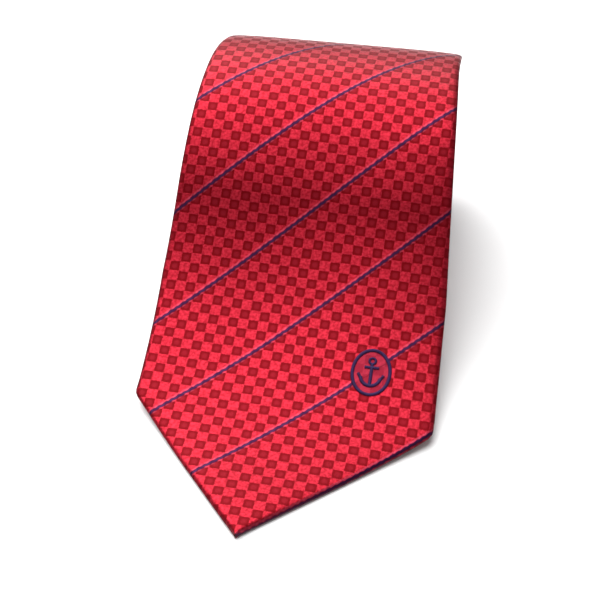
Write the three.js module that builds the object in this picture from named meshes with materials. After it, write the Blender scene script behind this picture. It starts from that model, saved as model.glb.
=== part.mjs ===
// A woven silk necktie, rolled from its tail: the wide front blade is the outermost turn, and runs
// down from the top of the roll to a point that lies flat on the table.
//
// Every layer of the tie is a band that follows one path in the Y-Z plane. A place on the tie is
// given by s, its distance from the front point along the outer face, by x across the tie, and by
// its depth below the outer face. Millimetres, +Z up; +Y runs from the front point to the roll.

import * as THREE from 'three';

// ---------------------------------------------------------------- driving dimensions

// Tie outline
const tieLength = 1507;
const bladeWidth = 92;
const neckWidth = 38;
const tailWidth = 48;
const taperStart = 90;             // from the front point to where the blade starts narrowing
const neckStart = 674;             // from the front point to where the blade stops narrowing
const frontJoin = 760;             // from the front point to the seam between blade and neckband
const tailJoinFromEnd = 407;       // from the tail point back to the seam between neckband and tail
const pointTrim = 1.5;             // the cloth of a point ends this far short of the sharp corner

// Cloth layers, from the outer face inwards
const silkThickness = 0.35;
const interliningThickness = 0.95;
const tippingThickness = 0.25;
const layerGap = 0.1;
const sideGap = 0.3;               // interlining and tipping to the folded silk edge
const seamGap = 0.3;               // half the opening between the two folded halves of the back
const cutGap = 0.3;                // between two pieces of one layer, where the tie bends

// Back of the tie
const hemWidth = 14.1;             // measured across the tie, so 10 mm square to the slanted edge
const frontTackAt = 130;
const tailTackFromEnd = 62;
const tackLength = 8;
const tackWidth = 2.4;
const tackHeight = 0.3;
const frontTippingLength = 142;
const tailTippingLength = 74;
const threadWidth = 0.2;

// Loop, labels and emblem
const loopStart = 204;
const loopWidth = 13;
const loopSpan = 58;
const makerLabelStart = 247;
const makerLabelWidth = 24;
const makerLabelSpan = 48;
const careLabelStart = 299;
const careLabelWidth = 26;
const careLabelSpan = 17;
const trimThickness = 0.25;        // loop, labels and tail tack lie between two turns
const trimGap = 0.08;              // above and below them
const emblemCentreS = 64.5;
const emblemFromEdge = 18.8;         // from the emblem's middle across to the edge of the blade
const emblemWidth = 13.4;
const emblemLength = 16.1;
const emblemThickness = 0.3;

// Join seams
const seamRidge = 0.8;

// Roll
const wholeTurns = 9;
const squareness = 1;              // how far the outer turn departs from a circle
const endTurnDegrees = 225;        // the tail ends just past the lowest point of the core
const tailFlapDegrees = 90;        // the stretch of the tail that can swing into the core

// Free blade, from the point to the top of the roll
const tipFlatLength = 23;
const steepestSlope = 49.2;
const shoulderSlope = 38;
const shoulderRadius = 110;
const crestRadius = 54;

// Facets
const facetDegrees = 18;
const toeFacets = 8;
const shoulderFacets = 2;
const crestFacets = 4;

// ---------------------------------------------------------------- derived sizes

const radians = THREE.MathUtils.degToRad;
const tieThickness = 2 * silkThickness + interliningThickness + tippingThickness + 3 * layerGap;
const startAngle = -radians(facetDegrees) / 2;
const endAngle = 2 * Math.PI * wholeTurns + radians(endTurnDegrees);

// The turns are wound over the loop and the labels, so these set the gap between two turns. The
// gap is narrower on the four flat sides, because the roll grows rounder towards its core.
const gapLostOnSides = (squareness * 2 * Math.PI) / endAngle;
const turnGap = trimThickness + 2 * trimGap + gapLostOnSides;
const pitch = tieThickness + turnGap;
const inwardPerRadian = pitch / (2 * Math.PI);
const bladeHalf = bladeWidth / 2;
const neckHalf = neckWidth / 2;
const tailHalf = tailWidth / 2;
const tailJoin = tieLength - tailJoinFromEnd;

// ---------------------------------------------------------------- the path of the outer face

// The roll is a convex spiral, given by the distance of its tangent line from the centre at each
// angle turned since the top. A fourth harmonic flattens its four sides, and fades inwards.
function harmonic(angle) {
  return squareness * (1 - angle / endAngle);
}

function supportDistance(size, angle) {
  return size - inwardPerRadian * angle - harmonic(angle) * Math.cos(4 * angle);
}

function supportSlope(angle) {
  const fade = -squareness / endAngle;
  return -inwardPerRadian - fade * Math.cos(4 * angle) + 4 * harmonic(angle) * Math.sin(4 * angle);
}

function rollPoint(size, angle) {
  const distance = supportDistance(size, angle);
  const slide = supportSlope(angle);
  return {
    y: distance * Math.sin(angle) + slide * Math.cos(angle),
    z: distance * Math.cos(angle) - slide * Math.sin(angle),
    normalY: Math.sin(angle),
    normalZ: Math.cos(angle),
  };
}

// The length of the outer face round the roll. The support distance adds up as the angle turns,
// and its slope adds its own change between the two ends.
function rollLength(size) {
  const steps = 4000;
  const step = (endAngle - startAngle) / steps;
  let sum = 0;
  for (let i = 0; i < steps; i += 1) {
    sum += supportDistance(size, startAngle + (i + 0.5) * step) * step;
  }
  return sum + supportSlope(endAngle) - supportSlope(startAngle);
}

// The free blade is a flat tip, a hollow toe, a rounded shoulder and a tighter crest. The toe's
// radius brings the crest up to the first facet of the roll.
function rampShape(size) {
  const floor = rollPoint(size, Math.PI - startAngle).z;
  const steep = radians(steepestSlope);
  const shoulder = radians(shoulderSlope);
  const rise = rollPoint(size, startAngle).z - floor - tieThickness;
  const shoulderRise = shoulderRadius * (Math.cos(shoulder) - Math.cos(steep));
  const crestRise = crestRadius * (Math.cos(startAngle) - Math.cos(shoulder));
  const toeRadius = (rise - shoulderRise - crestRise) / (1 - Math.cos(steep));
  const arcs = [
    { radius: toeRadius, from: 0, to: steep, facets: toeFacets },
    { radius: -shoulderRadius, from: steep, to: shoulder, facets: shoulderFacets },
    { radius: -crestRadius, from: shoulder, to: -startAngle, facets: crestFacets },
  ];
  const arcLength = arcs.reduce((sum, arc) => sum + arc.radius * (arc.to - arc.from), 0);
  return { floor, arcs, length: tipFlatLength + arcLength };
}

// Both lengths grow evenly with the size of the roll, so two trial sizes give the one that uses
// up the whole tie.
function rollSizeForTie() {
  const small = 20;
  const large = 60;
  const used = (size) => rampShape(size).length + rollLength(size);
  return small + ((tieLength - used(small)) * (large - small)) / (used(large) - used(small));
}

// Stations are the corners of the faceted path, each with its distance s along the true curve.
function buildStations() {
  const size = rollSizeForTie();
  const ramp = rampShape(size);
  const list = [
    { s: 0, y: 0, z: tieThickness, normalY: 0, normalZ: 1 },
    { s: tipFlatLength, y: tipFlatLength, z: tieThickness, normalY: 0, normalZ: 1 },
  ];
  for (const arc of ramp.arcs) {
    const start = list[list.length - 1];
    for (let i = 1; i <= arc.facets; i += 1) {
      const slope = arc.from + ((arc.to - arc.from) * i) / arc.facets;
      list.push({
        s: start.s + arc.radius * (slope - arc.from),
        y: start.y + arc.radius * (Math.sin(slope) - Math.sin(arc.from)),
        z: start.z + arc.radius * (Math.cos(arc.from) - Math.cos(slope)),
        normalY: -Math.sin(slope),
        normalZ: Math.cos(slope),
      });
    }
  }
  const crest = list[list.length - 1];
  const first = rollPoint(size, startAngle);
  const facets = Math.round((endAngle - startAngle) / radians(facetDegrees));
  for (let i = 1; i <= facets; i += 1) {
    const angle = startAngle + i * radians(facetDegrees);
    const middle = angle - radians(facetDegrees) / 2;
    const slide = supportSlope(angle) - supportSlope(angle - radians(facetDegrees));
    const point = rollPoint(size, angle);
    list.push({
      ...point,
      s: list[list.length - 1].s + supportDistance(size, middle) * radians(facetDegrees) + slide,
      y: crest.y + point.y - first.y,
      z: point.z - ramp.floor,
    });
  }
  return list;
}

const stations = buildStations();
const clothEnd = stations[stations.length - 1].s;
const bladeHinge = stations[1 + toeFacets + shoulderFacets + crestFacets].s;
const tailHinge = stations[stations.length - 1 - tailFlapDegrees / facetDegrees].s;

// The origin is under the middle of the part.
const backmost = Math.max(...stations.map((station) => station.y));
const middleY = (pointTrim + backmost) / 2;

function place(s, depth, x) {
  let i = 1;
  while (i < stations.length - 1 && stations[i].s < s) {
    i += 1;
  }
  const a = stations[i - 1];
  const b = stations[i];
  const mix = (s - a.s) / (b.s - a.s);
  const y = THREE.MathUtils.lerp(a.y - depth * a.normalY, b.y - depth * b.normalY, mix);
  const z = THREE.MathUtils.lerp(a.z - depth * a.normalZ, b.z - depth * b.normalZ, mix);
  return [x, y - middleY, z];
}

// ---------------------------------------------------------------- widths along the tie

// A table of [s, value] pairs, read with straight lines between them.
function along(table, s) {
  let i = 1;
  while (i < table.length - 1 && table[i][0] < s) {
    i += 1;
  }
  const [s0, v0] = table[i - 1];
  const [s1, v1] = table[i];
  return v0 + ((v1 - v0) * (s - s0)) / (s1 - s0);
}

// Both ends are square points: the half-width grows as fast as the distance from the point.
const halfWidths = [
  [0, 0],
  [bladeHalf, bladeHalf],
  [taperStart, bladeHalf],
  [neckStart, neckHalf],
  [tailJoin, neckHalf],
  [clothEnd - tailHalf, tailHalf],
  [clothEnd, 0],
];

// Half the opening between the two halves of the back: it closes at the bar tacks, opens to the
// corners of each point, and follows the hem down to the point.
const hemOpenings = [
  [0, seamGap],
  [hemWidth + seamGap, seamGap],
  [bladeHalf, bladeHalf - hemWidth],
  [frontTackAt, seamGap],
  [clothEnd - tailTackFromEnd, seamGap],
  [clothEnd - tailHalf, tailHalf - hemWidth],
  [clothEnd - hemWidth - seamGap, seamGap],
  [clothEnd, seamGap],
];

const outlineStops = [...halfWidths, ...hemOpenings].map((entry) => entry[0]);
const halfWidth = (s) => along(halfWidths, s);
const hemOpening = (s) => along(hemOpenings, s);
const innerHalfWidth = (s) => halfWidth(s) - silkThickness - sideGap;
const emblemCentreX = halfWidth(emblemCentreS) - emblemFromEdge;

// ---------------------------------------------------------------- solids

// A closed band: the ring of [x, depth] corners that sectionAt(s) gives, carried from s0 to s1
// through every station and every corner of the outline on the way.
function band(s0, s1, sectionAt, extraStops = []) {
  const smallest = 0.05;
  const between = [...stations.map((station) => station.s), ...outlineStops, ...extraStops]
    .filter((s) => s > s0 + smallest && s < s1 - smallest)
    .sort((a, b) => a - b)
    .filter((s, i, sorted) => i === 0 || s - sorted[i - 1] > smallest);
  const stops = [s0, ...between, s1];
  const rings = stops.map((s) => sectionAt(s));
  const corners = rings[0].length;

  const positions = [];
  stops.forEach((s, row) => {
    for (const [x, depth] of rings[row]) {
      positions.push(...place(s, depth, x));
    }
  });

  const faces = [];
  for (let row = 0; row + 1 < stops.length; row += 1) {
    for (let i = 0; i < corners; i += 1) {
      const a = row * corners + i;
      const b = row * corners + ((i + 1) % corners);
      faces.push([a, b + corners, b], [a, a + corners, b + corners]);
    }
  }
  const capAt = (row, flipped) => {
    const outline = rings[row].map(([x, depth]) => new THREE.Vector2(x, depth));
    for (const triangle of THREE.ShapeUtils.triangulateShape(outline, [])) {
      const face = triangle.map((i) => row * corners + i);
      faces.push(flipped ? face.reverse() : face);
    }
  };
  capAt(0, true);
  capAt(stops.length - 1, false);

  const geometry = new THREE.BufferGeometry();
  geometry.setAttribute('position', new THREE.Float32BufferAttribute(positions, 3));
  geometry.setIndex(faces.flat());
  geometry.computeVertexNormals();
  return geometry;
}

function rectangle(left, right, top, bottom) {
  return [
    [left, bottom],
    [right, bottom],
    [right, top],
    [left, top],
  ];
}

// Silk folded round the inside layers: the front, two folded edges and the two halves of the back.
function silkSection(s) {
  const half = halfWidth(s);
  const inner = half - silkThickness;
  const hem = hemOpening(s);
  const back = tieThickness;
  const backInside = tieThickness - silkThickness;
  return [
    [-half, 0],
    [-half, back],
    [-hem, back],
    [-hem, backInside],
    [-inner, backInside],
    [-inner, silkThickness],
    [inner, silkThickness],
    [inner, backInside],
    [hem, backInside],
    [hem, back],
    [half, back],
    [half, 0],
  ];
}

const interliningTop = silkThickness + layerGap;
const interliningBottom = interliningTop + interliningThickness;
function interliningSection(s) {
  return rectangle(-innerHalfWidth(s), innerHalfWidth(s), interliningTop, interliningBottom);
}

const tippingTop = interliningBottom + layerGap;
const tippingBottom = tippingTop + tippingThickness;
function tippingSection(s) {
  return rectangle(-innerHalfWidth(s), innerHalfWidth(s), tippingTop, tippingBottom);
}

function threadSection() {
  return rectangle(-threadWidth / 2, threadWidth / 2, tieThickness - silkThickness, tieThickness);
}

// Loop, labels and tacks lie on the back of the tie.
function trimOnBack(start, width, span, thickness) {
  const top = tieThickness + trimGap;
  return band(start, start + width, () => rectangle(-span / 2, span / 2, top, top + thickness));
}

function emblemGeometry() {
  const rows = 8;
  const halfLength = emblemLength / 2;
  const level = (i) => emblemCentreS - halfLength * Math.cos((Math.PI * i) / rows);
  const endMargin = 0.3;
  const stops = Array.from({ length: rows - 1 }, (_, i) => level(i + 1));
  const section = (s) => {
    const share = (s - emblemCentreS) / halfLength;
    const half = (emblemWidth / 2) * Math.sqrt(1 - share * share);
    return rectangle(
      emblemCentreX - half,
      emblemCentreX + half,
      -layerGap - emblemThickness,
      -layerGap,
    );
  };
  return band(level(0) + endMargin, level(rows) - endMargin, section, stops);
}

// ---------------------------------------------------------------- materials and the assembly

const silkRed = { color: 0xb81f33, roughness: 0.38, metalness: 0 };
const liningRed = { color: 0x9c1a2c, roughness: 0.3, metalness: 0 };
const wool = { color: 0xe6dfcf, roughness: 0.95, metalness: 0 };
const thread = { color: 0x8e1626, roughness: 0.6, metalness: 0 };
const navy = { color: 0x1d1f45, roughness: 0.5, metalness: 0 };
const labelWhite = { color: 0xf2efe8, roughness: 0.6, metalness: 0 };

const tie = new THREE.Group();

function addPiece(name, geometry, finish) {
  const mesh = new THREE.Mesh(geometry, new THREE.MeshStandardMaterial(finish));
  mesh.name = name;
  tie.add(mesh);
}

// A layer that runs the length of the tie is cut where the blade and the tail end bend freely.
const halfCut = cutGap / 2;
const clothStart = pointTrim;
const clothStop = clothEnd - pointTrim;
const insideStart = silkThickness + sideGap + pointTrim;
const insideStop = clothEnd - insideStart;
const frontTackEnd = frontTackAt + tackWidth / 2;
const tailTackStart = clothEnd - tailTackFromEnd - tackWidth / 2;

// Front blade, which lifts off the roll
addPiece('front_blade_silk', band(clothStart, bladeHinge - halfCut, silkSection), silkRed);
addPiece('front_blade_interlining', band(insideStart, bladeHinge - halfCut, interliningSection), wool);
addPiece('front_tipping', band(insideStart, frontTippingLength, tippingSection), liningRed);
addPiece('front_bar_tack', trimOnBack(frontTackAt - tackWidth / 2, tackWidth, tackLength, tackHeight), thread);
addPiece('front_slip_stitch', band(frontTackEnd, bladeHinge - halfCut, threadSection), thread);
addPiece('emblem', emblemGeometry(), navy);

// Roll: three sections of silk with their join seams, and what they hold
const seamLead = seamRidge / 2 + cutGap;
addPiece('blade_silk_rolled', band(bladeHinge + halfCut, frontJoin - seamLead, silkSection), silkRed);
addPiece('front_join_seam', band(frontJoin - seamRidge / 2, frontJoin + seamRidge / 2, silkSection), thread);
addPiece('neckband_silk', band(frontJoin + seamLead, tailJoin - seamLead, silkSection), silkRed);
addPiece('tail_join_seam', band(tailJoin - seamRidge / 2, tailJoin + seamRidge / 2, silkSection), thread);
addPiece('tail_silk_rolled', band(tailJoin + seamLead, tailHinge - halfCut, silkSection), silkRed);
addPiece('interlining_rolled', band(bladeHinge + halfCut, tailHinge - halfCut, interliningSection), wool);
addPiece('slip_stitch_rolled', band(bladeHinge + halfCut, tailTackStart, threadSection), thread);
addPiece('keeper_loop', trimOnBack(loopStart, loopWidth, loopSpan, trimThickness), silkRed);
addPiece('blank_maker_label', trimOnBack(makerLabelStart, makerLabelWidth, makerLabelSpan, trimThickness), navy);
addPiece('blank_care_label', trimOnBack(careLabelStart, careLabelWidth, careLabelSpan, trimThickness), labelWhite);
addPiece('tail_bar_tack', trimOnBack(tailTackStart, tackWidth, tackLength, trimThickness), thread);
addPiece('tail_tipping_rolled', band(clothEnd - tailTippingLength, tailHinge - halfCut, tippingSection), liningRed);

// Tail end, which can swing into the core of the roll
addPiece('tail_end_silk', band(tailHinge + halfCut, clothStop, silkSection), silkRed);
addPiece('tail_end_interlining', band(tailHinge + halfCut, insideStop, interliningSection), wool);
addPiece('tail_end_tipping', band(tailHinge + halfCut, insideStop, tippingSection), liningRed);

export default tie;
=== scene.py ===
"""A woven silk necktie, rolled from its tail, with its front blade running down to the table.

Lengths in the tie's own space are millimetres: s runs along the tie from the front point, x runs
across it, and depth runs down from its outer face. place() turns them into metres in the frame.
"""

import math

import bpy
import numpy as np
from mathutils import Matrix, Vector


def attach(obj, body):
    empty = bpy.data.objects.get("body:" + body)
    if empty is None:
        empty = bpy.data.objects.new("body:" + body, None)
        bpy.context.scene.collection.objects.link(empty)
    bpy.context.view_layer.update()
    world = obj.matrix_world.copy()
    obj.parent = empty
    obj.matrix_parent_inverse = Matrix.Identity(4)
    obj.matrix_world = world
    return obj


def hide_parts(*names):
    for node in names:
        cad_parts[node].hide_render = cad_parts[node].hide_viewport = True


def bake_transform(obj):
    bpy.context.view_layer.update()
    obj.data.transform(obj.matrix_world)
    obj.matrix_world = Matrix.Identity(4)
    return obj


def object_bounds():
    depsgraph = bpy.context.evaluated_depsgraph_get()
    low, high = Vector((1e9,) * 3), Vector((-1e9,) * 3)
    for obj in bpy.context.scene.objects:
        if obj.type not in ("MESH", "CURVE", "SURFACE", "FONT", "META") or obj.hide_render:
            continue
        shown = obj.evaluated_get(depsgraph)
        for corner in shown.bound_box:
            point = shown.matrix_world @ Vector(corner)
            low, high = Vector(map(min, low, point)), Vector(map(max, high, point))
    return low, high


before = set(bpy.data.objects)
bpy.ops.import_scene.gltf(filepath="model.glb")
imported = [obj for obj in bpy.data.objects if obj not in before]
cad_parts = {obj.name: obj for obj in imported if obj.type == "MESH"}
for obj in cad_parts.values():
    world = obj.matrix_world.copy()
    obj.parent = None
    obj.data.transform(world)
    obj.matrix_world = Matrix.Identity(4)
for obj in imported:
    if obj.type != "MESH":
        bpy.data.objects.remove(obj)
cad_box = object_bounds()

MM = 0.001

# ---------------------------------------------------------------- driving dimensions

TIE_LENGTH = 1507.0
NECK_HALF = 19.0
TAIL_HALF = 24.0
TAPER_START = 90.0  # the blade keeps its full width as far as this
NECK_START = 674.0
FRONT_JOIN = 760.0
TAIL_JOIN_FROM_END = 407.0
POINT_TRIM = 1.5  # the CAD point is cut this far short

SILK = 0.35
INTERLINING = 0.95
TIPPING = 0.25
LAYER_GAP = 0.1
SIDE_GAP = 0.5
SEAM_GAP = 0.3
THICKNESS = 2 * SILK + INTERLINING + TIPPING + 3 * LAYER_GAP

HEM_WIDTH = 14.1
FRONT_TACK = 130.0
TAIL_TACK_FROM_END = 62.0
FRONT_TIPPING_LENGTH = 142.0
TAIL_TIPPING_LENGTH = 74.0

LOOP_START, LOOP_WIDTH, LOOP_SPAN = 204.0, 13.0, 58.0
MAKER_START, MAKER_WIDTH, MAKER_SPAN = 247.0, 24.0, 48.0
CARE_START, CARE_WIDTH, CARE_SPAN = 299.0, 26.0, 17.0
TRIM = 0.25
TRIM_GAP = 0.08
TIP_GAP = 0.25  # the silk starts this far from the very point
LAYER_TIP_GAP = 1.0  # the inside layers start this far from the silk's fold
FOLD_ROOM = 1.2  # what the rounded fold takes from the width inside
CUT_GAP = 0.3  # the rolled wool stops this far from the wool before and after it
JOIN_HALF_GAP = 0.6  # from a join's middle to the silk on each side
RIDGE_HALF = 0.5
EMBLEM_X, EMBLEM_S = 26.6, 64.3
EMBLEM_WIDTH, EMBLEM_LENGTH = 12.6, 16.1

WHOLE_TURNS = 9
END_TURN = math.radians(225)  # the tail ends just past the lowest point of the core
TAIL_CUT_TURN = math.radians(90)  # into the last turn, where the tail's free end starts
SQUARENESS = 1.0  # how far the outer turn departs from a circle
HALF_FACET = math.radians(9)  # the CAD roll has flat facets of twice this angle
TIP_FLAT = 23.0  # the ramp: flat tip, hollow toe, steepest slope, shoulder and crest
STEEPEST = math.radians(49.2)
SHOULDER = math.radians(38)
SHOULDER_RADIUS = 110.0
CREST_RADIUS = 54.0

CHECK = 3.217  # side of one woven square
STRIPE_SPACING = 38.5  # along the tie
STRIPE_OFFSET = 40.5  # where one stripe crosses the middle line
SKEW = 0.026  # the silk was cut this far off its grain

# How the cloth strays from the plain shape
CORNER_SOFTNESS = 1.3
HEM_SOFTNESS = 1.0
LEAN_SOFTNESS = 6.0
FOLD_RADIUS = 1.9
CROWN = 0.55  # the face falls away by this much at its folded edges
UNEVENNESS = 0.45  # height of the free blade's slow waves
TURN_UNEVENNESS = (0.6, 0.3)  # of two sideways waves along the turns of the roll
LONGER_LEFT_SIDE = 0.04  # the point was cut a little askew: its left side is longer by this share
POINT_LEAN = -3.0  # how far the tie's middle line strays sideways, at five places
CORNER_LEAN = 1.7
RUN_LEAN = 0.7
CREST_LEAN = 0.3
OUTER_TURN_SHIFT = 1.6

# Threads and stitches
SLIP_THREAD_RADIUS = 0.11
FRONT_TACK_RADIUS = 0.13
TAIL_TACK_RADIUS = 0.12
STITCH_PITCH = 0.24
STITCH_RADIUS = 0.13

# Fineness of the path and the meshes
PATH_STEP = 0.25
ROLL_SAMPLES = 12000
FOLD_STEPS = 7
FRONT_STEPS = 40
BACK_STEPS = 12

# Camera and lights: metres and watts, and millimetres for the lens
AIM = Vector((-0.0007, -0.0009, 0.0107))
AZIMUTH = math.radians(9.24)
ELEVATION = math.radians(38.96)
ROLL = math.radians(0.67)
DISTANCE = 0.400
LENS = 73.0
WORLD_LIGHT = 0.36
LIGHTS = {
    "overhead": {"at": (-0.36, 0.16, 1.06), "size": (1.25, 1.3), "power": 22.0},
    "back": {"at": (-0.30, 0.95, 0.85), "size": (1.1, 0.9), "power": 10.5},
}

# Weave, in millimetres
FLOAT_PITCH = 0.34
NAVY_REACH = (0.34, 0.60)  # from the stripe's middle to where its navy thread starts and ends fading
STRIPE_HIGHLIGHT_AT = (0.80, 0.78)  # where the painted highlight lines run, above and below the navy thread
# how far the painted shade at the folded edges reaches
FOLD_SHADE_REACH = 0.6

# Colours
LIGHT_SQUARE = (0.375, 0.0135, 0.028)
LIGHT_SQUARE_DEEP = (0.22, 0.0045, 0.0115)
DARK_SQUARE = (0.135, 0.0022, 0.0050)
# Painted sheen: the lighter heart of each dark square
DARK_SQUARE_PAINTED_SHEEN = (0.185, 0.0060, 0.0118)
STRIPE_NAVY = (0.034, 0.008, 0.036)
# Painted highlights beside each stripe's navy thread, above and below it
STRIPE_UPPER_HIGHLIGHT = (0.42, 0.08, 0.14)
STRIPE_LOWER_HIGHLIGHT = (0.40, 0.08, 0.14)
EMBLEM_GROUND = (0.20, 0.010, 0.024)
# Painted shade along the folded edges
FOLD_PAINTED_SHADE = (0.05, 0.002, 0.010)

# ---------------------------------------------------------------- the path of the outer face

END_ANGLE = 2 * math.pi * WHOLE_TURNS + END_TURN
GAP_LOST_ON_SIDES = SQUARENESS * 2 * math.pi / END_ANGLE
PITCH = THICKNESS + TRIM + 2 * TRIM_GAP + GAP_LOST_ON_SIDES
INWARD = PITCH / (2 * math.pi)


def support_distance(size, angle):
    """How far the roll's tangent line is from its centre, at an angle turned since the top."""
    fade = SQUARENESS * (1 - angle / END_ANGLE)
    return size - INWARD * angle - fade * np.cos(4 * angle)


def support_slope(angle):
    """How that distance changes with the angle."""
    fade = SQUARENESS * (1 - angle / END_ANGLE)
    change = SQUARENESS / END_ANGLE
    return -INWARD + change * np.cos(4 * angle) + 4 * fade * np.sin(4 * angle)


def roll_point(size, angle):
    """Where the roll's outer face is, from the roll's centre, at an angle turned since the top."""
    distance, slide = support_distance(size, angle), support_slope(angle)
    y = distance * np.sin(angle) + slide * np.cos(angle)
    z = distance * np.cos(angle) - slide * np.sin(angle)
    return y, z


def roll_size():
    """The roll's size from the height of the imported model, which is measured between two facets."""
    height = (cad_box[1][2] - cad_box[0][2]) / MM

    def reached(size):
        return roll_point(size, -HALF_FACET)[1] - roll_point(size, math.pi + HALF_FACET)[1]

    small, large = 20.0, 60.0  # the height grows evenly with the size, so two sizes give it
    share = (height - reached(small)) / (reached(large) - reached(small))
    return small + share * (large - small)


def build_path():
    """Dense samples of s, y, z and the slope of the outer face; the slope falls as it turns."""
    size = roll_size()
    floor = roll_point(size, math.pi)[1]
    rise = roll_point(size, 0.0)[1] - floor - THICKNESS
    shoulder_rise = SHOULDER_RADIUS * (math.cos(SHOULDER) - math.cos(STEEPEST))
    crest_rise = CREST_RADIUS * (1 - math.cos(SHOULDER))
    toe_radius = (rise - shoulder_rise - crest_rise) / (1 - math.cos(STEEPEST))

    # Each stretch of the ramp: its length, and its slope at both ends.
    pieces = [
        (TIP_FLAT, 0.0, 0.0),
        (toe_radius * STEEPEST, 0.0, STEEPEST),
        (SHOULDER_RADIUS * (STEEPEST - SHOULDER), STEEPEST, SHOULDER),
        (CREST_RADIUS * SHOULDER, SHOULDER, 0.0),
    ]
    slopes = [0.0]
    lengths = [0.0]
    for length, first, last in pieces:
        count = max(2, int(round(length / PATH_STEP)))
        for i in range(1, count + 1):
            slopes.append(first + (last - first) * i / count)
            lengths.append(lengths[-1] + length / count)
    slopes, lengths = np.array(slopes), np.array(lengths)
    middle = (slopes[1:] + slopes[:-1]) / 2
    ds = np.diff(lengths)
    y = np.concatenate([[0.0], np.cumsum(np.cos(middle) * ds)])
    z = THICKNESS + np.concatenate([[0.0], np.cumsum(np.sin(middle) * ds)])

    angle = np.linspace(0.0, END_ANGLE, ROLL_SAMPLES)[1:]
    roll_y, roll_z = roll_point(size, angle)
    start_y, start_z = roll_point(size, 0.0)
    roll_y = roll_y - start_y + y[-1]
    roll_z = roll_z - start_z + z[-1]
    gone = np.hypot(np.diff(roll_y, prepend=y[-1]), np.diff(roll_z, prepend=z[-1]))
    roll_s = lengths[-1] + np.cumsum(gone)
    # The outermost turn lies flat where it meets the table.
    roll_z = np.maximum(roll_z, 0.0)
    return {
        "s": np.concatenate([lengths, roll_s]),
        "y": np.concatenate([y, roll_y]),
        "z": np.concatenate([z, roll_z]),
        "slope": np.concatenate([slopes, -angle]),
        "top": lengths[-1],
    }


PATH = build_path()
CLOTH_END = float(PATH["s"][-1])
TOP_S = float(PATH["top"])
SHIFT_Y = cad_box[0][1] / MM - POINT_TRIM
BLADE_HALF = (cad_box[1][0] - cad_box[0][0]) / MM / 2
TAIL_JOIN = TIE_LENGTH - TAIL_JOIN_FROM_END


def s_at(angle):
    """The distance along the tie at which the outer face has turned this far since the top."""
    in_roll = PATH["s"] >= TOP_S
    return float(np.interp(angle, -PATH["slope"][in_roll], PATH["s"][in_roll]))


def place(s, depth, x):
    """Points in the frame, in metres, from arrays of s, depth and x."""
    s = np.asarray(s, float)
    slope = np.interp(s, PATH["s"], PATH["slope"])
    y = np.interp(s, PATH["s"], PATH["y"]) + depth * np.sin(slope)
    z = np.interp(s, PATH["s"], PATH["z"]) - depth * np.cos(slope)
    y, z, x = np.broadcast_arrays(y, z, np.asarray(x, float))
    return np.stack([x, y + SHIFT_Y, z], axis=-1) * MM


# ---------------------------------------------------------------- widths along the tie


def softened(table, radius):
    """A function of s: straight lines between (s, value) pairs, their corners rounded off."""
    at = np.array([row[0] for row in table], float)
    value = np.array([row[1] for row in table], float)

    def read(s):
        s = np.asarray(s, float)
        offsets = radius * np.linspace(-1, 1, 9)
        samples = [np.interp(np.clip(s + o, at[0], at[-1]), at, value) for o in offsets]
        return np.mean(samples, axis=0)

    return read


soft_half_width = softened(
    [
        (0, 0),
        (BLADE_HALF, BLADE_HALF),
        (TAPER_START, BLADE_HALF),
        (NECK_START, NECK_HALF),
        (TAIL_JOIN, NECK_HALF),
        (CLOTH_END - TAIL_HALF, TAIL_HALF),
        (CLOTH_END, 0),
    ],
    CORNER_SOFTNESS,
)

# Half the opening between the two folded halves of the back.
hem_opening = softened(
    [
        (0, SEAM_GAP),
        (HEM_WIDTH + SEAM_GAP, SEAM_GAP),
        (BLADE_HALF, BLADE_HALF - HEM_WIDTH),
        (FRONT_TACK, SEAM_GAP),
        (CLOTH_END - TAIL_TACK_FROM_END, SEAM_GAP),
        (CLOTH_END - TAIL_HALF, TAIL_HALF - HEM_WIDTH),
        (CLOTH_END - HEM_WIDTH - SEAM_GAP, SEAM_GAP),
        (CLOTH_END, SEAM_GAP),
    ],
    HEM_SOFTNESS,
)


def half_width(s):
    """Half the tie's width. The two points stay sharp: their last millimetre isn't softened."""
    s = np.asarray(s, float)
    to_point = np.minimum(s, CLOTH_END - s)
    sharp = to_point < CORNER_SOFTNESS
    return np.where(sharp, to_point, soft_half_width(s))


# How far the middle line strays to the right: the front point, the ramp and the outer turn.
lean = softened(
    [
        (0, POINT_LEAN),
        (BLADE_HALF, CORNER_LEAN),
        (TOP_S * 0.65, RUN_LEAN),
        (TOP_S, CREST_LEAN),
        (TOP_S + 20, OUTER_TURN_SHIFT),
        (TOP_S * 2, OUTER_TURN_SHIFT),
        (TOP_S * 3, 0),
        (CLOTH_END, 0),
    ],
    LEAN_SOFTNESS,
)


def drift(s):
    """How far the tie's middle line strays: its lean, and turns that aren't quite aligned."""
    s = np.asarray(s, float)
    in_roll = np.clip((s - TOP_S) / 200, 0, 1)
    slow, quick = TURN_UNEVENNESS
    uneven = slow * np.sin(s / 47.0) + quick * np.sin(s / 19.0 + 1.0)
    return lean(s) + in_roll * uneven


def along_tie(s, x):
    """Where a point of the cloth lies along the tie: further on, to the left of the front point."""
    fade = np.clip((TOP_S - np.asarray(s, float)) / (TOP_S - BLADE_HALF), 0, 1)
    return s + LONGER_LEFT_SIDE * fade * np.maximum(-np.asarray(x), 0)


# ---------------------------------------------------------------- bands of cloth


def stations(start, stop, coarse=3.0):
    """Values of s from start to stop, coarse apart, and closer together near a point of the tie."""
    values = [start]
    while values[-1] < stop:
        here = values[-1]
        to_point = min(here, CLOTH_END - here)
        values.append(here + min(coarse, max(0.3, 0.25 + to_point * 0.09)))
    values = np.array(values)
    return start + (values - start) * (stop - start) / (values[-1] - start)


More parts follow.
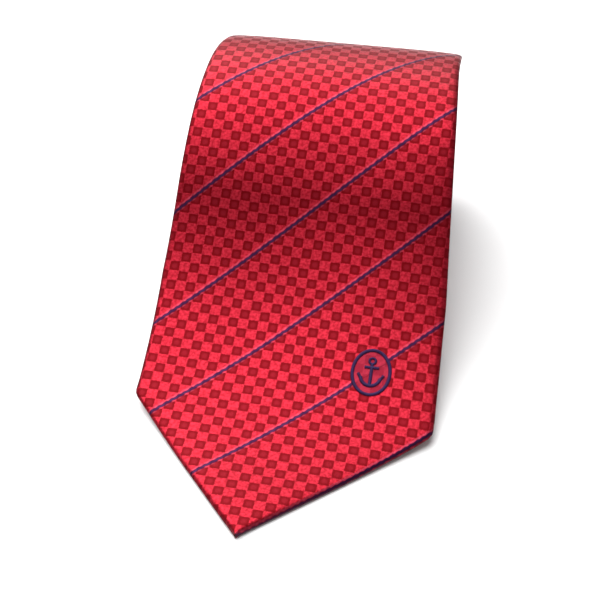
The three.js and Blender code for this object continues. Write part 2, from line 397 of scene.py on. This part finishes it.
def silk_skins(s):
    """The folded silk at station s: (x, depth) of its outer and inner skin, and places on the cloth.

    The skins run from the seam round the right-hand fold, across the front and back to the seam.
    """
    half = float(half_width(s))
    fold = min(FOLD_RADIUS, 0.7 * half)
    hem = min(float(hem_opening(s)), 0.6 * (half - fold) + 0.02)
    flat = half - fold
    mid = THICKNESS / 2

    turn = np.linspace(math.pi / 2, -math.pi / 2, FOLD_STEPS + 2)
    side = {}
    for name, inset in (("outer", 0.0), ("inner", SILK)):
        inset = min(inset, 0.45 * fold)
        back_x = np.linspace(hem, flat, BACK_STEPS)
        front_x = np.linspace(flat, -flat, FRONT_STEPS + 1)[1:-1]
        fold_x = flat + (fold - inset) * np.cos(turn)
        fold_depth = mid + (mid - inset) * np.sin(turn)
        x = np.concatenate([back_x[:-1], fold_x, front_x, -fold_x[::-1], -back_x[:-1][::-1]])
        depth = np.concatenate(
            [
                np.full(BACK_STEPS - 1, THICKNESS - inset),
                fold_depth,
                np.full(FRONT_STEPS - 1, inset),
                fold_depth[::-1],
                np.full(BACK_STEPS - 1, THICKNESS - inset),
            ]
        )
        side[name] = (x, depth)
    x, depth = side["outer"]
    gone = np.concatenate([[0.0], np.cumsum(np.hypot(np.diff(x), np.diff(depth)))])
    centre = gone[-1] / 2
    return side["outer"], side["inner"], centre - gone


def crowned(x, depth, s):
    """The face of the tie falls away a little towards its folded edges."""
    half = np.maximum(half_width(s), 1.0)
    facing = np.clip(1 - depth / THICKNESS, 0, 1)
    return depth + CROWN * np.clip(np.abs(x) / half, 0, 1) ** 6 * facing


def ripple(s, x):
    """Slow waves of the free blade, which fade out where it lies flat and at the top of the roll."""
    free = np.clip((TOP_S + 10 - s) / 40, 0, 1)
    raised = np.clip((s - TIP_FLAT) / 30, 0, 1)
    wave = np.sin(s / 13.0 + x / 21.0) * 0.5 + np.sin(s / 29.0 - x / 11.0 + 0.6) * 0.5
    return free * raised * UNEVENNESS * wave


def skin_points(s, x, depth, crown=True):
    """Places one skin's points at station s."""
    down = crowned(x, depth, s) if crown else depth
    return place(along_tie(s, x), down - ripple(s, x), x + drift(s))


def signed_volume(mesh):
    """Six times the volume inside a closed mesh, below zero where its faces point inwards."""
    mesh.calc_loop_triangles()
    corner = np.zeros(len(mesh.vertices) * 3)
    mesh.vertices.foreach_get("co", corner)
    corner = corner.reshape(-1, 3)
    triangle = np.zeros(len(mesh.loop_triangles) * 3, int)
    mesh.loop_triangles.foreach_get("vertices", triangle)
    a, b, c = (corner[triangle.reshape(-1, 3)[:, k]] for k in range(3))
    return float(np.einsum("ij,ij->i", a, np.cross(b, c)).sum())


def new_mesh(name, points, faces, cloth_map=None):
    """A mesh object with outward faces, and its map of cloth millimetres where it has one."""
    mesh = bpy.data.meshes.new(name)
    mesh.from_pydata([tuple(p) for p in points], [], faces)
    mesh.update()
    if signed_volume(mesh) < 0:
        mesh.flip_normals()
    if cloth_map is not None:
        layer = mesh.uv_layers.new(name="cloth")
        vertex = np.zeros(len(mesh.loops), int)
        mesh.loops.foreach_get("vertex_index", vertex)
        layer.data.foreach_set("uv", (cloth_map[vertex] * MM * 10).astype(np.float32).ravel())
    mesh.polygons.foreach_set("use_smooth", [True] * len(mesh.polygons))
    mesh.update()
    piece = bpy.data.objects.new(name, mesh)
    bpy.context.scene.collection.objects.link(piece)
    return piece


def double_skin(name, values, skins_at, crown=True):
    """A closed band: an outer and an inner skin joined along both sides and at both ends.

    Its "cloth" map holds the distances across and along the cloth, and its "fold" attribute is 1 on
    the folded edges and fades from them; it sets where painted shade darkens the silk.
    """
    rows, across_rows, along_rows, fold_shades = [], [], [], []
    for s in values:
        (x_out, d_out), (x_in, d_in), across = skins_at(s)
        # Where painted shade falls: on the folded edges
        fold_shade = np.exp(-(((d_out - THICKNESS / 2) / FOLD_SHADE_REACH) ** 2))
        fold_shades.append(np.concatenate([fold_shade, fold_shade[::-1]]))
        outer = skin_points(s, x_out, d_out, crown)
        inner = skin_points(s, x_in, d_in, crown)
        rows.append(np.concatenate([outer, inner[::-1]]))
        # The point leans, but its pattern was woven straight.
        woven = across + float(lean(s))
        across_rows.append(np.concatenate([woven, woven[::-1]]))
        along_rows.append(np.concatenate([along_tie(s, x_out), along_tie(s, x_in)[::-1]]))
    count = len(rows[0])
    half = count // 2
    points = np.concatenate(rows)
    across = np.concatenate(across_rows)
    along = np.concatenate(along_rows)

    faces = []
    for row in range(len(values) - 1):
        base = row * count
        for i in range(count):
            j = (i + 1) % count
            faces.append((base + i, base + j, base + count + j, base + count + i))
    last = (len(values) - 1) * count
    for i in range(half - 1):
        j = count - 1 - i
        faces.append((i, j, j - 1, i + 1))
        faces.append((last + i + 1, last + j - 1, last + j, last + i))
    piece = new_mesh(name, points, faces, np.stack([across, along], axis=1))
    layer = piece.data.attributes.new("fold", "FLOAT", "POINT")
    layer.data.foreach_set("value", np.concatenate(fold_shades).astype(np.float32))
    return piece


def flat_skins(top, bottom, side_gap, columns=16):
    """Skins of a plain layer as wide as the tie less side_gap on each side."""

    def at(s):
        half = max(float(half_width(s)) - side_gap, 0.05)
        x = np.linspace(half, -half, columns)
        return (x, np.full(columns, top)), (x, np.full(columns, bottom)), x

    return at


def strap_skins(span, top, bottom, columns=10):
    """Skins of a strap of even width, such as a label."""

    def at(s):
        x = np.linspace(span / 2, -span / 2, columns)
        return (x, np.full(columns, top)), (x, np.full(columns, bottom)), x

    return at


# ---------------------------------------------------------------- threads


def tube(points, radius, sides=6):
    """Points and faces of a closed round tube along a list of points, in metres."""
    points = np.asarray(points, float)
    ahead = np.gradient(points, axis=0)
    ahead /= np.linalg.norm(ahead, axis=1)[:, None]
    side = np.cross(ahead, np.array([0.31, 0.52, 0.79]))
    side /= np.linalg.norm(side, axis=1)[:, None]
    up = np.cross(ahead, side)
    turn = np.linspace(0, 2 * math.pi, sides, endpoint=False)
    ring = side[:, None] * np.cos(turn)[:, None] + up[:, None] * np.sin(turn)[:, None]
    corner = (points[:, None] + ring * radius).reshape(-1, 3)
    faces = []
    for row in range(len(points) - 1):
        for i in range(sides):
            a, b = row * sides + i, row * sides + (i + 1) % sides
            faces.append((a, b, b + sides, a + sides))
    last = (len(points) - 1) * sides
    faces.append(tuple(range(sides))[::-1])
    faces.append(tuple(range(last, last + sides)))
    return corner, faces


def joined_tubes(name, lines, radius, sides=6):
    """One object holding a closed tube along each line."""
    points, faces, start = [], [], 0
    for line in lines:
        corner, quads = tube(line, radius, sides)
        points.append(corner)
        faces += [tuple(start + i for i in face) for face in quads]
        start += len(corner)
    return new_mesh(name, np.concatenate(points), faces)


# ---------------------------------------------------------------- materials


class Nodes:
    """A short way to write a material's nodes: each method adds one and returns its output."""

    def __init__(self, name):
        self.material = bpy.data.materials.new(name)
        self.material.use_nodes = True
        self.tree = self.material.node_tree
        self.shader = self.tree.nodes["Principled BSDF"]

    def add(self, kind, **settings):
        node = self.tree.nodes.new(kind)
        for key, value in settings.items():
            setattr(node, key, value)
        return node

    def put(self, value, socket):
        if isinstance(value, bpy.types.NodeSocket):
            self.tree.links.new(value, socket)
        elif isinstance(value, (tuple, list)) and len(value) == 3 and socket.type == "RGBA":
            socket.default_value = (*value, 1.0)
        else:
            socket.default_value = value

    def math(self, operation, *values):
        node = self.add("ShaderNodeMath", operation=operation)
        for value, socket in zip(values, node.inputs):
            self.put(value, socket)
        return node.outputs[0]

    def step(self, value, low, high):
        """0 below low, 1 above high, smooth between."""
        node = self.add("ShaderNodeMapRange", interpolation_type="SMOOTHSTEP")
        for socket, given in (("Value", value), ("From Min", low), ("From Max", high)):
            self.put(given, node.inputs[socket])
        return node.outputs[0]

    def mix(self, share, first, second):
        node = self.add("ShaderNodeMix", data_type="RGBA")
        self.put(share, node.inputs[0])
        self.put(first, node.inputs[6])
        self.put(second, node.inputs[7])
        return node.outputs[2]

    def cloth(self):
        """Distance across and along the cloth, in millimetres."""
        node = self.add("ShaderNodeUVMap", uv_map="cloth")
        scaled = self.add("ShaderNodeVectorMath", operation="SCALE")
        self.put(node.outputs[0], scaled.inputs[0])
        scaled.inputs["Scale"].default_value = 1 / (MM * 10)
        return scaled.outputs[0]

    def split(self, vector):
        node = self.add("ShaderNodeSeparateXYZ")
        self.put(vector, node.inputs[0])
        return node.outputs[0], node.outputs[1]

    def noise(self, vector, scale, detail):
        node = self.add("ShaderNodeTexNoise")
        self.put(vector, node.inputs["Vector"])
        node.inputs["Scale"].default_value = scale
        node.inputs["Detail"].default_value = detail
        return node.outputs[0]

    def bump(self, height, distance, strength):
        node = self.add("ShaderNodeBump")
        node.inputs["Distance"].default_value = distance
        node.inputs["Strength"].default_value = strength
        self.put(height, node.inputs["Height"])
        self.tree.links.new(node.outputs[0], self.shader.inputs["Normal"])

    def surface(self, colour, roughness, **settings):
        """Sets the shader's inputs; an underscore in a setting's name stands for a space."""
        self.put(colour, self.shader.inputs["Base Color"])
        self.put(roughness, self.shader.inputs["Roughness"])
        for key, value in settings.items():
            self.put(value, self.shader.inputs[key.replace("_", " ")])


def square_pattern(n, at, across, along):
    """1 in the dark squares and 0 in the light ones; and 1 at the heart of each dark square, where a
    painted sheen lightens it.

    The product of two waves is above zero in every other square. Steep waves leave only a little
    rounding at the corners, and noise frays the edges.
    """
    turn = math.pi / CHECK
    wave_x = n.math("SINE", n.math("MULTIPLY", across, turn))
    wave_y = n.math("SINE", n.math("MULTIPLY", along, turn))
    steep_x = n.math("MAXIMUM", n.math("MINIMUM", n.math("MULTIPLY", wave_x, 2.6), 1.0), -1.0)
    steep_y = n.math("MAXIMUM", n.math("MINIMUM", n.math("MULTIPLY", wave_y, 2.6), 1.0), -1.0)
    frayed = n.math("MULTIPLY_ADD", n.noise(at, 2.2, 2.0), 0.9, -0.45)
    dark = n.step(n.math("MULTIPLY_ADD", steep_x, steep_y, frayed), -0.26, 0.56)
    heart = n.step(n.math("MULTIPLY", wave_x, wave_y), 0.35, 1.0)
    return dark, heart


def satin_floats(n, across, along, dark):
    """Ridges of thread: along the tie in the dark squares and across it in the light ones."""
    thread = 2 * math.pi / FLOAT_PITCH
    floats_x = n.math("SINE", n.math("MULTIPLY", across, thread))
    floats_y = n.math("SINE", n.math("MULTIPLY", along, thread))
    dark_floats = n.math("MULTIPLY", floats_x, dark)
    light_floats = n.math("MULTIPLY", floats_y, n.math("SUBTRACT", 1.0, dark))
    return n.math("ADD", dark_floats, light_floats)


def stripe_threads(n, across, along):
    """How much a stripe's navy thread shows, and the painted highlight lines above and below it."""
    slant = n.math("SUBTRACT", n.math("SUBTRACT", along, across), STRIPE_OFFSET)
    half_spacing = STRIPE_SPACING / 2
    beside = n.math("FLOORED_MODULO", n.math("ADD", slant, half_spacing), STRIPE_SPACING)
    beside = n.math("SUBTRACT", beside, half_spacing)
    beside = n.math("MULTIPLY", beside, math.sqrt(0.5))
    run = n.math("MULTIPLY", n.math("ADD", along, across), math.sqrt(0.5))
    twist = n.math("SINE", n.math("MULTIPLY", run, 2 * math.pi / (CHECK * math.sqrt(0.5))))
    edge = n.math("ADD", beside, n.math("MULTIPLY", twist, 0.10))
    navy = n.math("SUBTRACT", 1.0, n.step(n.math("ABSOLUTE", edge), *NAVY_REACH))
    above = n.math("ABSOLUTE", n.math("SUBTRACT", edge, STRIPE_HIGHLIGHT_AT[0]))
    upper = n.math("SUBTRACT", 1.0, n.step(above, 0.12, 0.34))
    upper = n.math("MULTIPLY", upper, n.math("MULTIPLY_ADD", twist, 0.25, 0.62))
    below = n.math("ABSOLUTE", n.math("ADD", edge, STRIPE_HIGHLIGHT_AT[1]))
    lower = n.math("SUBTRACT", 1.0, n.step(below, 0.08, 0.28))
    lower = n.math("MULTIPLY", lower, n.math("MULTIPLY_ADD", twist, -0.25, 0.25))
    return navy, upper, lower


def emblem_ground(n, straight_x, straight_y):
    """1 inside the emblem's border, where the cloth is plain."""
    off_x = n.math("DIVIDE", n.math("SUBTRACT", straight_x, EMBLEM_X), EMBLEM_WIDTH / 2)
    off_y = n.math("DIVIDE", n.math("SUBTRACT", straight_y, EMBLEM_S), EMBLEM_LENGTH / 2)
    off = n.math("ADD", n.math("MULTIPLY", off_x, off_x), n.math("MULTIPLY", off_y, off_y))
    return n.math("SUBTRACT", 1.0, n.step(off, 0.84, 0.96))


def silk_material():
    """Damask silk: satin squares that face two ways, with slanted stripes."""
    n = Nodes("woven_silk")
    at = n.cloth()
    straight_x, straight_y = n.split(at)

    # The weave is off the cloth's length by the skew, and wavers a little.
    wander = n.noise(at, 0.05, 1.0)
    waver = n.math("MULTIPLY", n.math("SUBTRACT", wander, 0.5), 0.5)
    across = n.math("ADD", n.math("MULTIPLY_ADD", straight_y, -SKEW, straight_x), waver)
    along = n.math("ADD", n.math("MULTIPLY_ADD", straight_x, SKEW, straight_y), waver)

    dark, heart = square_pattern(n, at, across, along)
    mottle = n.step(n.noise(at, 1.1, 4.0), 0.30, 0.70)
    light_colour = n.mix(mottle, LIGHT_SQUARE, LIGHT_SQUARE_DEEP)
    # The heart of each dark square is lightened with a painted sheen.
    dark_colour = n.mix(heart, DARK_SQUARE, DARK_SQUARE_PAINTED_SHEEN)
    colour = n.mix(dark, light_colour, dark_colour)

    navy, upper, lower = stripe_threads(n, across, along)
    # Paler lines painted along the stripe's sides as highlights
    colour = n.mix(n.math("MULTIPLY", upper, 0.42), colour, STRIPE_UPPER_HIGHLIGHT)
    colour = n.mix(n.math("MULTIPLY", lower, 0.5), colour, STRIPE_LOWER_HIGHLIGHT)
    colour = n.mix(navy, colour, STRIPE_NAVY)

    colour = n.mix(emblem_ground(n, straight_x, straight_y), colour, EMBLEM_GROUND)
    # Painted shade darkens the folded edges.
    fold = n.add("ShaderNodeAttribute", attribute_name="fold").outputs["Fac"]
    colour = n.mix(n.math("MULTIPLY", fold, 0.6), colour, FOLD_PAINTED_SHADE)

    height = n.math("MULTIPLY", n.math("SUBTRACT", 0.0, dark), 0.35)
    floats = satin_floats(n, across, along, dark)
    height = n.math("ADD", height, n.math("MULTIPLY", floats, 0.10))
    height = n.math("ADD", height, n.math("MULTIPLY", navy, 0.55))
    height = n.math("ADD", height, n.math("MULTIPLY", n.math("SUBTRACT", mottle, 0.5), 0.25))
    n.bump(height, 0.00010, 0.8)

    # Silk tints its own reflections, so it is part metallic here.
    roughness = n.math("MULTIPLY_ADD", dark, 0.10, 0.34)
    tinted = n.math("MULTIPLY_ADD", dark, -0.15, 0.72)
    shine = n.math("MULTIPLY_ADD", dark, -0.07, 0.10)
    n.surface(colour, roughness, Metallic=tinted, Specular_IOR_Level=shine)
    return n.material


def satin_material(name, colour, deeper, rough):
    """Plain satin: fine floats one way, a little uneven."""
    n = Nodes(name)
    at = n.cloth()
    along = n.split(at)[1]
    mottle = n.noise(at, 0.35, 3.0)
    floats = n.math("SINE", n.math("MULTIPLY", along, 2 * math.pi / 0.3))
    height = n.math("ADD", n.math("MULTIPLY", floats, 0.3), mottle)
    n.bump(height, 0.00006, 0.7)
    roughness = n.math("MULTIPLY_ADD", mottle, 0.1, rough)
    n.surface(n.mix(mottle, colour, deeper), roughness, Sheen_Weight=0.2)
    return n.material


def wool_material():
    """Brushed wool canvas with a plain weave."""
    n = Nodes("wool_canvas")
    at = n.cloth()
    across, along = n.split(at)
    warp = n.math("SINE", n.math("MULTIPLY", across, 2 * math.pi / 0.9))
    weft = n.math("SINE", n.math("MULTIPLY", along, 2 * math.pi / 0.9))
    fuzz = n.noise(at, 1.6, 4.0)
    height = n.math("ADD", n.math("MULTIPLY", warp, weft), fuzz)
    n.bump(height, 0.00012, 0.8)
    n.surface(n.mix(fuzz, (0.80, 0.74, 0.63), (0.62, 0.55, 0.45)), 0.95, Sheen_Weight=0.4)
    return n.material


def thread_material(name, colour, lighter):
    """Twisted thread, with plies that catch the light in turn."""
    n = Nodes(name)
    where = n.add("ShaderNodeTexCoord").outputs["Object"]
    plies = n.add("ShaderNodeTexWave", wave_type="BANDS", bands_direction="DIAGONAL")
    n.put(where, plies.inputs["Vector"])
    plies.inputs["Scale"].default_value = 900.0
    plies.inputs["Distortion"].default_value = 1.5
    n.bump(plies.outputs["Fac"], 0.00004, 0.8)
    n.surface(n.mix(plies.outputs["Fac"], colour, lighter), 0.55, Specular_IOR_Level=0.2)
    return n.material


def label_material(name, colour, edge_colour):
    """Woven tape with a ribbed face."""
    n = Nodes(name)
    at = n.cloth()
    across, along = n.split(at)
    ribs = n.math("SINE", n.math("MULTIPLY", along, 2 * math.pi / 0.5))
    fine = n.math("SINE", n.math("MULTIPLY", across, 2 * math.pi / 0.35))
    height = n.math("ADD", ribs, n.math("MULTIPLY", fine, 0.4))
    n.bump(height, 0.00005, 0.7)
    n.surface(n.mix(n.noise(at, 0.8, 2.0), colour, edge_colour), 0.6)
    return n.material


silk = silk_material()
tipping_satin = satin_material("tipping_satin", (0.50, 0.012, 0.030), (0.36, 0.008, 0.018), 0.3)
wool = wool_material()
red_thread = thread_material("red_thread", (0.35, 0.010, 0.022), (0.62, 0.05, 0.08))
navy_thread = thread_material("navy_thread", (0.022, 0.008, 0.045), (0.060, 0.026, 0.125))
maker_tape = label_material("maker_tape", (0.014, 0.018, 0.070), (0.03, 0.035, 0.11))
care_tape = label_material("care_tape", (0.82, 0.80, 0.76), (0.70, 0.68, 0.64))


def finish(piece, material, body, node):
    """Gives a piece its material and slot, its body where one is given, and hides the CAD part it stands
    for.
    """
    piece.data.materials.clear()
    piece.data.materials.append(material)
    if body is not None:
        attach(piece, body)
    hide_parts(node)


# ---------------------------------------------------------------- where the cloth is cut


def bend_blade(piece):
    """Bakes a piece's placing into its mesh."""
    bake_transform(piece)


def bend_tail(piece):
    """Bakes a piece's placing into its mesh."""
    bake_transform(piece)


UNDER_ROLL = s_at(math.radians(160))  # the outer silk is cut here, close to the table
TAIL_CUT = s_at(END_ANGLE - END_TURN + TAIL_CUT_TURN)  # at the back of the core

# ---------------------------------------------------------------- silk

front_at = stations(TIP_GAP, UNDER_ROLL, 1.2)
front_silk = double_skin("front_silk", front_at, silk_skins)
finish(front_silk, silk, None, "front_blade_silk")
bend_blade(front_silk)

blade_at = stations(UNDER_ROLL, FRONT_JOIN - JOIN_HALF_GAP)
blade_turns = double_skin("blade_silk_turns", blade_at, silk_skins)
finish(blade_turns, silk, "roll", "blade_silk_rolled")

neckband_at = stations(FRONT_JOIN + JOIN_HALF_GAP, TAIL_JOIN - JOIN_HALF_GAP)
neckband = double_skin("neckband_turns", neckband_at, silk_skins)
finish(neckband, silk, "roll", "neckband_silk")

tail_at = stations(TAIL_JOIN + JOIN_HALF_GAP, TAIL_CUT, 2.0)
tail_turns = double_skin("tail_silk_turns", tail_at, silk_skins)
finish(tail_turns, silk, "roll", "tail_silk_rolled")

point_at = stations(TAIL_CUT, CLOTH_END - TIP_GAP, 1.0)
tail_point = double_skin("tail_silk_point", point_at, silk_skins)
finish(tail_point, silk, None, "tail_end_silk")
bend_tail(tail_point)

for name, at, node in (
    ("front_seam_ridge", FRONT_JOIN, "front_join_seam"),
    ("tail_seam_ridge", TAIL_JOIN, "tail_join_seam"),
):
    ridge = double_skin(name, np.linspace(at - RIDGE_HALF, at + RIDGE_HALF, 4), silk_skins)
    finish(ridge, red_thread, "roll", node)

# ---------------------------------------------------------------- inside layers

WOOL_TOP = SILK + LAYER_GAP
WOOL_BOTTOM = WOOL_TOP + INTERLINING
LINING_TOP = WOOL_BOTTOM + LAYER_GAP
LINING_BOTTOM = LINING_TOP + TIPPING
INSIDE = SILK + SIDE_GAP + FOLD_ROOM
LAYER_START = INSIDE + LAYER_TIP_GAP
LAYER_END = CLOTH_END - LAYER_START

wool_skins = flat_skins(WOOL_TOP, WOOL_BOTTOM, INSIDE)
lining_skins = flat_skins(LINING_TOP, LINING_BOTTOM, INSIDE)

front_wool_at = stations(LAYER_START, UNDER_ROLL)
front_wool = double_skin("front_interlining", front_wool_at, wool_skins)
finish(front_wool, wool, None, "front_blade_interlining")
bend_blade(front_wool)

rolled_wool_at = stations(UNDER_ROLL + CUT_GAP, TAIL_CUT - CUT_GAP)
rolled_wool = double_skin("rolled_interlining", rolled_wool_at, wool_skins)
finish(rolled_wool, wool, "roll", "interlining_rolled")

tail_wool_at = stations(TAIL_CUT, LAYER_END, 1.5)
tail_wool = double_skin("tail_interlining", tail_wool_at, wool_skins)
finish(tail_wool, wool, None, "tail_end_interlining")
bend_tail(tail_wool)

front_lining_at = stations(LAYER_START, FRONT_TIPPING_LENGTH, 2.0)
front_lining = double_skin("front_lining", front_lining_at, lining_skins)
finish(front_lining, tipping_satin, None, "front_tipping")
bend_blade(front_lining)

tail_lining_start = CLOTH_END - TAIL_TIPPING_LENGTH
tail_lining_at = stations(tail_lining_start, TAIL_CUT, 2.0)
tail_lining = double_skin("tail_lining_turn", tail_lining_at, lining_skins)
finish(tail_lining, tipping_satin, "roll", "tail_tipping_rolled")

lining_point_at = stations(TAIL_CUT + LAYER_GAP, LAYER_END, 1.5)
tail_lining_point = double_skin("tail_lining_point", lining_point_at, lining_skins)
finish(tail_lining_point, tipping_satin, None, "tail_end_tipping")
bend_tail(tail_lining_point)

# ---------------------------------------------------------------- loop and labels

TRIM_TOP = THICKNESS + TRIM_GAP
TRIM_BOTTOM = TRIM_TOP + TRIM
for name, slot, node, material, start, width, span in (
    ("loop", "silk", "keeper_loop", silk, LOOP_START, LOOP_WIDTH, LOOP_SPAN),
    ("maker_label", "maker_label", "blank_maker_label", maker_tape, MAKER_START, MAKER_WIDTH, MAKER_SPAN),
    ("care_label", "care_label", "blank_care_label", care_tape, CARE_START, CARE_WIDTH, CARE_SPAN),
):
    strap = double_skin(
        name,
        np.linspace(start, start + width, 14),
        strap_skins(span, TRIM_TOP, TRIM_BOTTOM),
        crown=False,
    )
    finish(strap, material, "roll", node)

# ---------------------------------------------------------------- stitches


def zigzag(start, stop, pitch=7.0):
    """The slip stitch: a loose thread that crosses the back seam from side to side."""
    count = int((stop - start) / (pitch / 8))
    s = np.linspace(start, stop, count)
    x = (SEAM_GAP - SLIP_THREAD_RADIUS) * np.sin(2 * math.pi * s / pitch)
    depth = np.full(count, THICKNESS - SILK / 2)
    return place(s, depth, x + drift(s))


def bar_tack(centre, rows=9, reach=3.6, pitch=0.24):
    """Close stitches side by side across the seam."""
    depth = THICKNESS + 0.05
    lines = []
    for i in range(rows):
        s = centre + (i - (rows - 1) / 2) * pitch
        x = np.linspace(-reach, reach, 9)
        lift = 0.12 * (1 - (x / reach) ** 8)
        lines.append(place(np.full(9, s), depth + lift, x + drift(s)))
    return lines


front_line = zigzag(FRONT_TACK + 2, UNDER_ROLL - 1)
front_stitch = joined_tubes("front_slip_thread", [front_line], SLIP_THREAD_RADIUS * MM)
finish(front_stitch, red_thread, None, "front_slip_stitch")
bend_blade(front_stitch)

tail_tack_s = CLOTH_END - TAIL_TACK_FROM_END
rolled_line = zigzag(UNDER_ROLL, tail_tack_s - 2)
rolled_stitch = joined_tubes("rolled_slip_thread", [rolled_line], SLIP_THREAD_RADIUS * MM)
finish(rolled_stitch, red_thread, "roll", "slip_stitch_rolled")

front_tack = joined_tubes("front_tack", bar_tack(FRONT_TACK), FRONT_TACK_RADIUS * MM)
finish(front_tack, red_thread, None, "front_bar_tack")
bend_blade(front_tack)

tail_tack = joined_tubes("tail_tack", bar_tack(tail_tack_s), TAIL_TACK_RADIUS * MM)
finish(tail_tack, red_thread, "roll", "tail_bar_tack")

# ---------------------------------------------------------------- emblem

def arc(centre, radius_x, radius_y, first, last, count):
    """Points of an elliptical arc, in degrees."""
    turn = np.radians(np.linspace(first, last, count))
    return np.stack([centre[0] + radius_x * np.cos(turn), centre[1] + radius_y * np.sin(turn)], axis=1)


def satin_stroke(line, width):
    """Stitches square to a line of (x, s) points, side by side along it, each a low arch."""
    line = np.asarray(line, float)
    gone = np.concatenate([[0], np.cumsum(np.linalg.norm(np.diff(line, axis=0), axis=1))])
    count = max(2, int(gone[-1] / STITCH_PITCH))
    where = np.linspace(0, gone[-1], count)
    x = np.interp(where, gone, line[:, 0])
    s = np.interp(where, gone, line[:, 1])
    ahead = np.stack([np.gradient(x), np.gradient(s)], axis=1)
    ahead /= np.linalg.norm(ahead, axis=1)[:, None]
    stitches = []
    for i in range(count):
        square = np.array([-ahead[i, 1], ahead[i, 0]])
        reach = np.linspace(-width / 2, width / 2, 7)
        px = x[i] + square[0] * reach
        ps = s[i] + square[1] * reach
        lift = 0.10 + 0.32 * np.sqrt(np.clip(1 - (2 * reach / width) ** 2, 0, 1))
        stitches.append((px, ps, lift))
    return stitches


def emblem_lines():
    """A plain oval border round a small anchor: ring, shank, stock, arms and two flukes."""
    half_w, half_l = EMBLEM_WIDTH / 2 - 0.5, EMBLEM_LENGTH / 2 - 0.5
    border = arc((0, 0), half_w, half_l, 0, 360, 120)
    ring = arc((0, 3.9), 1.0, 1.0, 0, 360, 30)
    shank = [(0, 2.9), (0, -4.4)]
    stock = [(-2.1, 1.7), (2.1, 1.7)]
    arms = arc((0, -1.2), 3.1, 3.3, 190, 350, 40)
    left_fluke = [(-3.9, -0.7), (-2.9, -2.3)]
    right_fluke = [(3.9, -0.7), (2.9, -2.3)]
    strokes = [
        (border, 0.9),
        (ring, 0.6),
        (shank, 0.9),
        (stock, 0.8),
        (arms, 0.95),
        (left_fluke, 0.8),
        (right_fluke, 0.8),
    ]
    lines = []
    for stroke, width in strokes:
        for px, ps, lift in satin_stroke(stroke, width):
            s, x = ps + EMBLEM_S, px + EMBLEM_X
            depth = crowned(x, np.zeros(len(x)), s) - ripple(s, x) - lift
            lines.append(place(s, depth, x))
    return lines


emblem = joined_tubes("emblem_stitches", emblem_lines(), STITCH_RADIUS * MM, sides=5)
finish(emblem, navy_thread, "front_blade", "emblem")

# ---------------------------------------------------------------- cloth facts


def silk_round(s):
    """How much silk goes round the tie at s: the front and the two halves of the back."""
    return np.maximum(4 * half_width(s) - 2 * hem_opening(s), 0)


def layer_width(s):
    """The width of the wool or the lining at s."""
    return np.maximum(2 * (half_width(s) - INSIDE), 0)


def declare_cloth(start, stop, width_at):
    """Samples the widths of a piece's cut from start to stop; nothing is declared and the widths are not
    used.
    """
    widths = width_at(np.linspace(start, stop, 500))


declare_cloth(0, UNDER_ROLL, silk_round)
declare_cloth(UNDER_ROLL, FRONT_JOIN, silk_round)
declare_cloth(FRONT_JOIN, TAIL_JOIN, silk_round)
declare_cloth(TAIL_JOIN, TAIL_CUT, silk_round)
declare_cloth(TAIL_CUT, CLOTH_END, silk_round)
declare_cloth(INSIDE, UNDER_ROLL, layer_width)
declare_cloth(UNDER_ROLL, TAIL_CUT, layer_width)
declare_cloth(TAIL_CUT, CLOTH_END - INSIDE, layer_width)
declare_cloth(INSIDE, FRONT_TIPPING_LENGTH, layer_width)
declare_cloth(tail_lining_start, TAIL_CUT, layer_width)
declare_cloth(TAIL_CUT, CLOTH_END - INSIDE, layer_width)

# ---------------------------------------------------------------- floor, light and camera

bpy.ops.mesh.primitive_plane_add(size=6, location=(0, 0, -0.0001))
floor = bpy.context.object
floor.name = "floor"
paper = Nodes("white_table")
grain = paper.noise(paper.add("ShaderNodeTexCoord").outputs["Object"], 60.0, 3.0)
pale_grey = paper.mix(grain, (0.90, 0.90, 0.90), (0.88, 0.88, 0.88))
paper.surface(pale_grey, 0.7, Specular_IOR_Level=0.2)
floor.data.materials.append(paper.material)

world = bpy.data.worlds.new("studio")
bpy.context.scene.world = world
world.use_nodes = True
background = world.node_tree.nodes["Background"]
background.inputs["Color"].default_value = (1.0, 1.0, 1.0, 1.0)
background.inputs["Strength"].default_value = WORLD_LIGHT


def soft_light(name, at, size, power):
    """A broad area light that faces the tie."""
    data = bpy.data.lights.new(name, "AREA")
    data.shape = "RECTANGLE"
    data.size, data.size_y = size
    data.energy = power
    light = bpy.data.objects.new(name, data)
    light.location = Vector(at)
    light.rotation_euler = (AIM - light.location).to_track_quat("-Z", "Y").to_euler()
    bpy.context.scene.collection.objects.link(light)


for name, settings in LIGHTS.items():
    soft_light(name, **settings)

camera_data = bpy.data.cameras.new("camera")
camera_data.lens = LENS
camera_data.sensor_width = 36.0
camera = bpy.data.objects.new("camera", camera_data)
toward = Vector((0, math.cos(ELEVATION), -math.sin(ELEVATION)))
toward.rotate(Matrix.Rotation(AZIMUTH, 3, "Z"))
look = toward.to_track_quat("-Z", "Y").to_matrix().to_4x4()
stand = Matrix.Translation(AIM - toward * DISTANCE)
camera.matrix_world = stand @ look @ Matrix.Rotation(ROLL, 4, "Z")
bpy.context.scene.collection.objects.link(camera)
bpy.context.scene.camera = camera
bpy.context.scene.view_settings.view_transform = "Standard"
